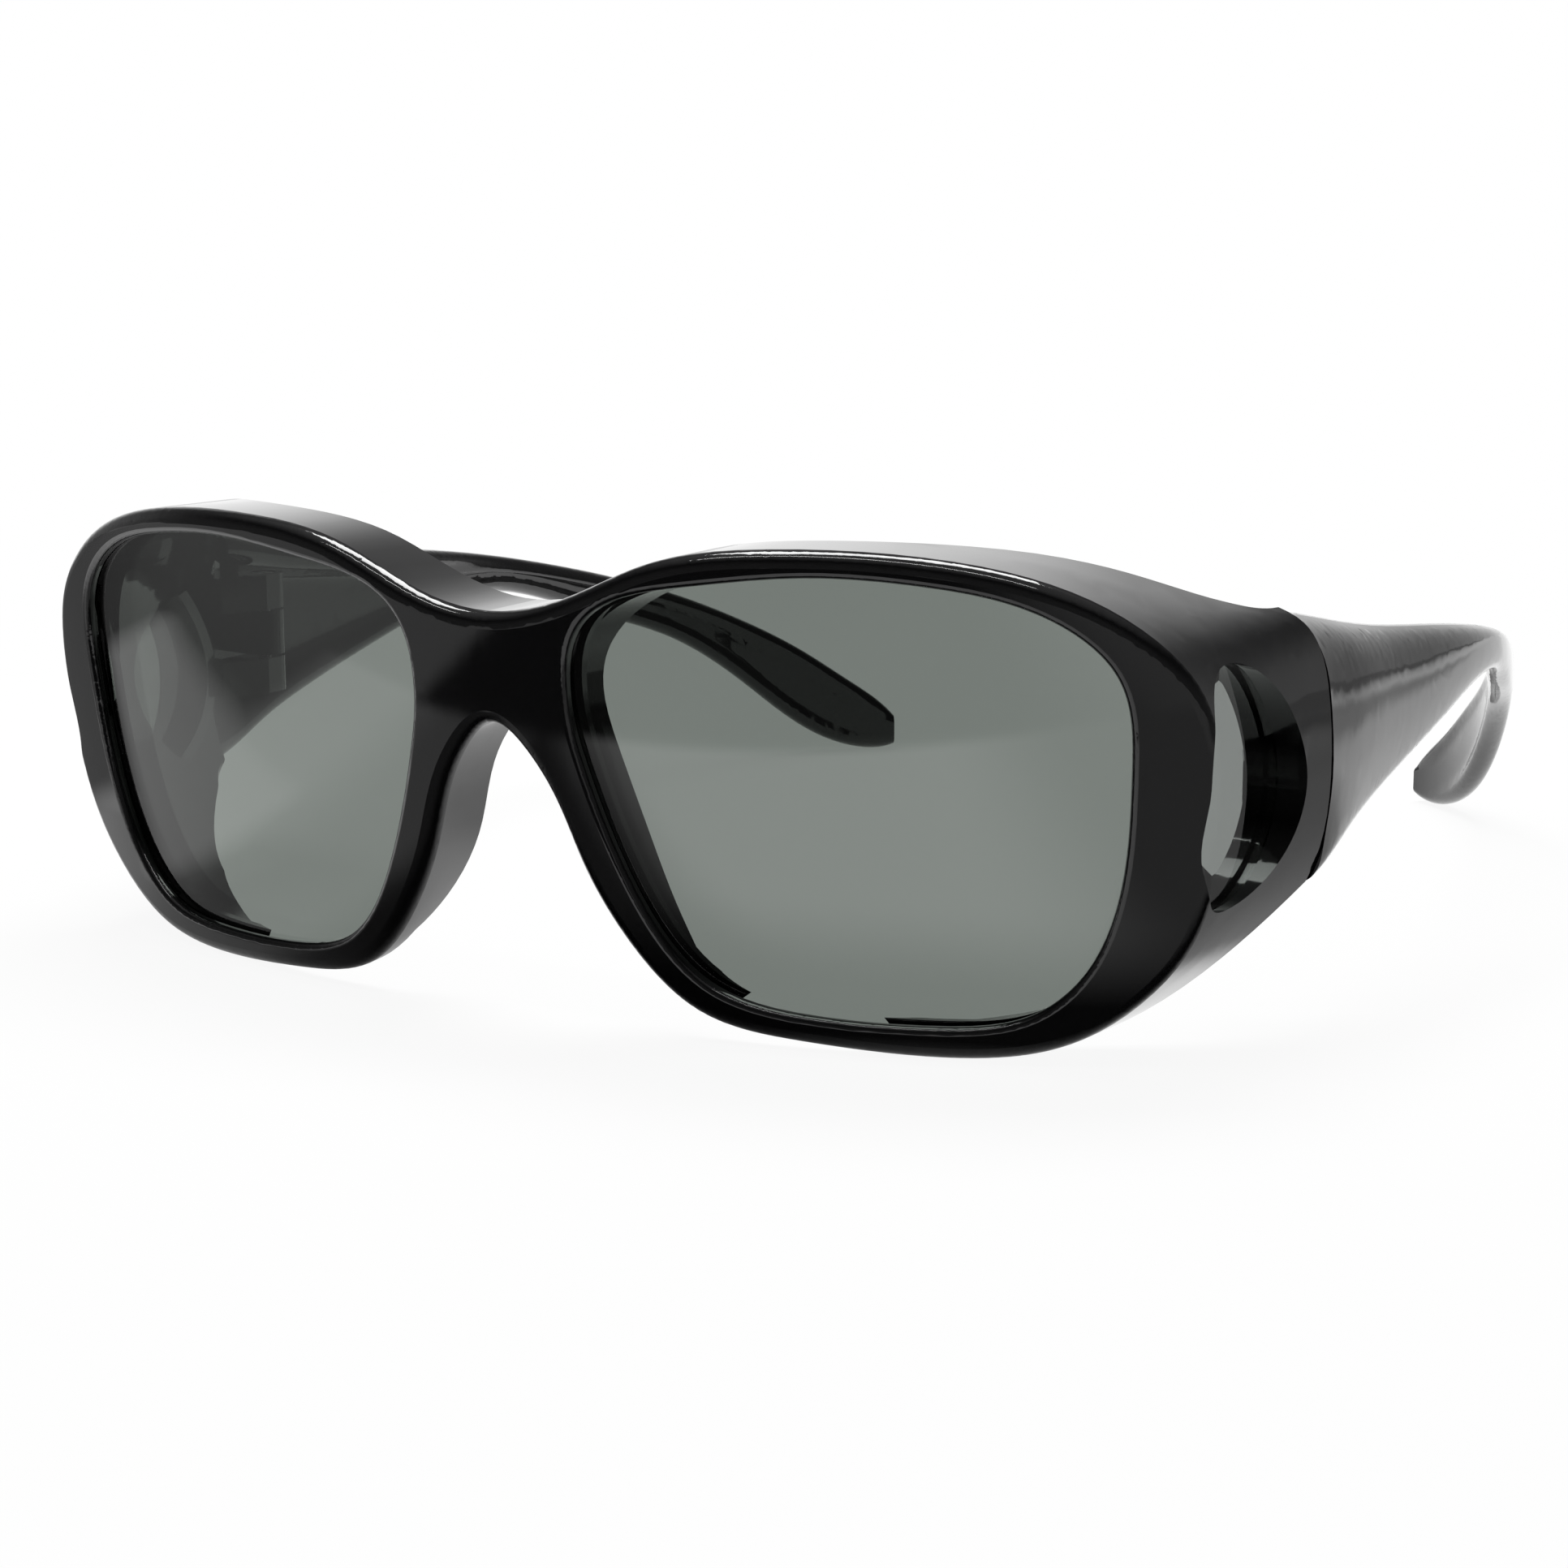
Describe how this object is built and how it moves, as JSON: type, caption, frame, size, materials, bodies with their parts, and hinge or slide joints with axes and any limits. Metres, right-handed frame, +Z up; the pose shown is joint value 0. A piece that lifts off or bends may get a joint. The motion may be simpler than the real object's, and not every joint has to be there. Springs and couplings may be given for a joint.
{
  "type": "fitover sunglasses",
  "caption": "Glossy wraparound sunglasses with grey lenses, side windows in deep shields and folding temples, shaped to be worn over other glasses",
  "frame": {"origin": "Centre of the footprint, at the height of the surface the glasses rest on, on the lower rims and the temple tips", "axes": "+Z up, the front faces -Y and the temples run back along +Y, +X is to the right of someone who looks at the front; the two halves mirror each other across X = 0"},
  "size_m": [0.1542, 0.1746, 0.0531],
  "materials": {
    "frame": "polished black injection-moulded plastic",
    "lens": "smooth neutral grey tinted lens",
    "screw": "plain steel screw"
  },
  "bodies": {
    "front": {"front_frame": "frame", "left_main_lens": "lens", "right_main_lens": "lens", "left_side_lens": "lens", "right_side_lens": "lens", "left_hinge_screw": "screw", "right_hinge_screw": "screw"},
    "left_arm": {"left_temple": "frame"},
    "right_arm": {"right_temple": "frame"}
  },
  "joints": [
    {"name": "left_fold", "type": "hinge", "parent": "front", "child": "left_arm", "pos_m": [-0.0683, -0.0371, 0.0319], "axis": [0, 0, -1], "range_deg": [0, 70]},
    {"name": "right_fold", "type": "hinge", "parent": "front", "child": "right_arm", "pos_m": [0.0683, -0.0371, 0.0319], "axis": [0, 0, 1], "range_deg": [0, 85]}
  ]
}
